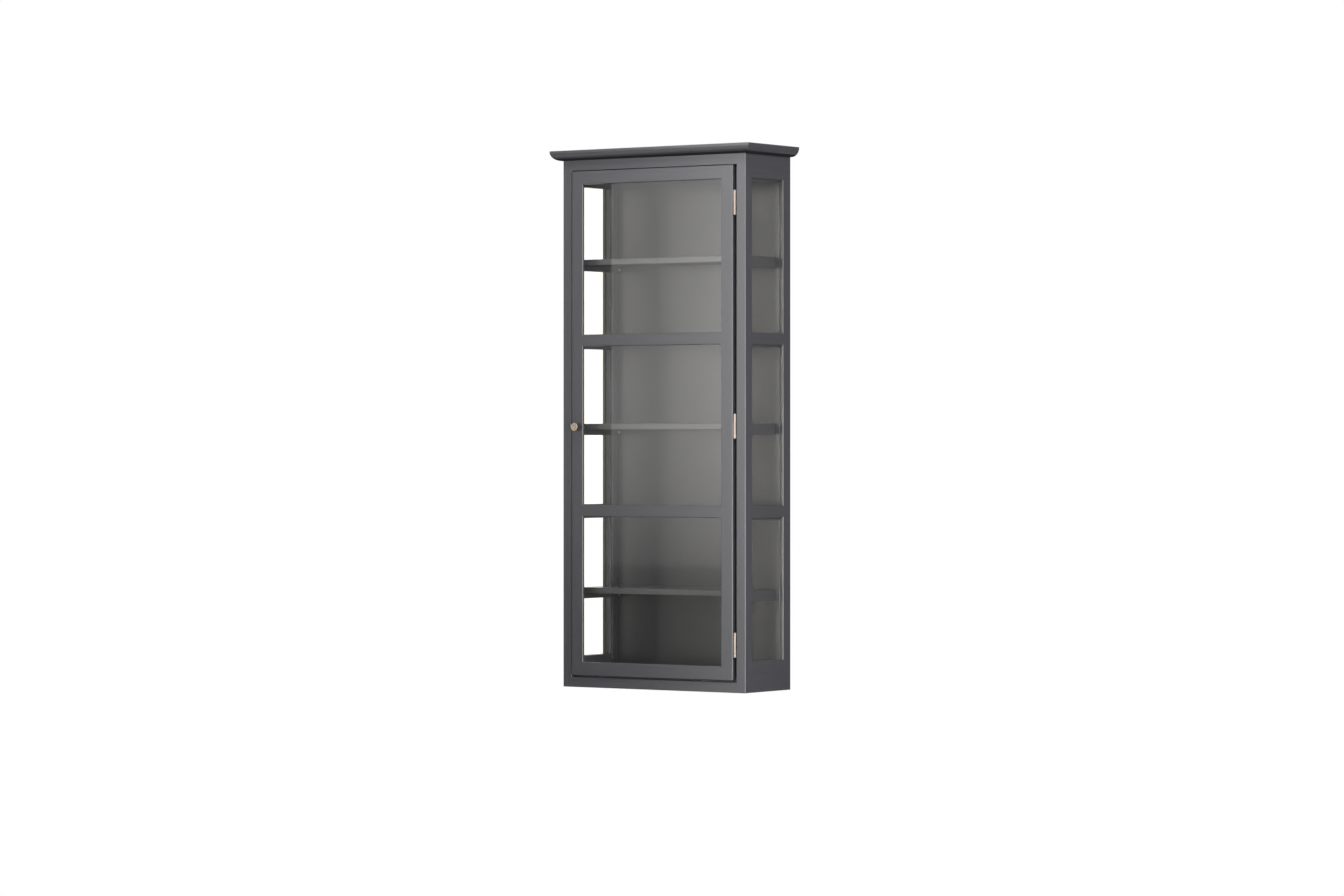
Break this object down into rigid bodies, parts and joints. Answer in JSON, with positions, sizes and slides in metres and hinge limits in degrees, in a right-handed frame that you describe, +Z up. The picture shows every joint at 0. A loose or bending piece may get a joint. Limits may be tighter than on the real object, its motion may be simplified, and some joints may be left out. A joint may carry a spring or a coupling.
{
  "type": "display cabinet",
  "caption": "Wall-hung glazed display cabinet with a framed glass door on butt hinges, glazed sides, fixed shelves, a moulded cornice and a small brass knob.",
  "frame": {"origin": "midway between the two round hanging holes, on the wall plane", "axes": "+X to the right as seen by someone facing the door, +Y into the wall, +Z up"},
  "size_m": [0.448, 0.167, 1],
  "materials": {
    "painted_wood": "dark grey satin lacquer on wood",
    "painted_panel": "dark grey satin lacquer on fibreboard",
    "window_glass": "clear float glass",
    "brass_hardware": "satin brass",
    "brass_knob": "brushed brass, turned",
    "zinc_steel": "zinc plated",
    "catch_plastic": "moulded",
    "magnet": "bare ferrite",
    "beech": "bare beech"
  },
  "bodies": {
    "cabinet": {"back_panel": "painted_panel", "back_panel_screws": "zinc_steel", "bearer_screws": "zinc_steel", "bottom_board": "painted_wood", "carcass_dowels": "beech", "catch_body": "catch_plastic", "catch_magnet": "magnet", "catch_screws": "zinc_steel", "cornice": "painted_wood", "cornice_screws": "zinc_steel", "frame_hinge_screws": "brass_hardware", "hanger_plates": "zinc_steel", "hanger_screws": "zinc_steel", "hinge_pins": "brass_hardware", "left_back_stile": "painted_wood", "left_bottom_rail": "painted_wood", "left_front_stile": "painted_wood", "left_glazing_beads": "painted_wood", "left_lower_glass": "window_glass", "left_lower_mid_rail": "painted_wood", "left_middle_glass": "window_glass", "left_shelf_bearers": "painted_wood", "left_top_rail": "painted_wood", "left_upper_glass": "window_glass", "left_upper_mid_rail": "painted_wood", "lower_hinge_frame_leaf": "brass_hardware", "middle_hinge_frame_leaf": "brass_hardware", "right_back_stile": "painted_wood", "right_bottom_rail": "painted_wood", "right_front_stile": "painted_wood", "right_glazing_beads": "painted_wood", "right_lower_glass": "window_glass", "right_lower_mid_rail": "painted_wood", "right_middle_glass": "window_glass", "right_shelf_bearers": "painted_wood", "right_top_rail": "painted_wood", "right_upper_glass": "window_glass", "right_upper_mid_rail": "painted_wood", "shelf_lower": "painted_wood", "shelf_middle": "painted_wood", "shelf_upper": "painted_wood", "top_board": "painted_wood", "upper_hinge_frame_leaf": "brass_hardware"},
    "door": {"door_bottom_rail": "painted_wood", "door_glazing_beads": "painted_wood", "door_hinge_stile": "painted_wood", "door_knob_stile": "painted_wood", "door_lower_glass": "window_glass", "door_lower_mid_rail": "painted_wood", "door_middle_glass": "window_glass", "door_screws": "brass_hardware", "door_top_rail": "painted_wood", "door_upper_glass": "window_glass", "door_upper_mid_rail": "painted_wood", "knob": "brass_knob", "knob_screw": "zinc_steel", "lower_hinge_door_leaf": "brass_hardware", "middle_hinge_door_leaf": "brass_hardware", "strike_plate": "zinc_steel", "upper_hinge_door_leaf": "brass_hardware"}
  },
  "joints": [
    {"name": "door_hinge", "type": "hinge", "parent": "cabinet", "child": "door", "pos_m": [0.182, -0.15, -0.4345], "axis": [0, 0, 1], "range_deg": [0, 130]}
  ]
}
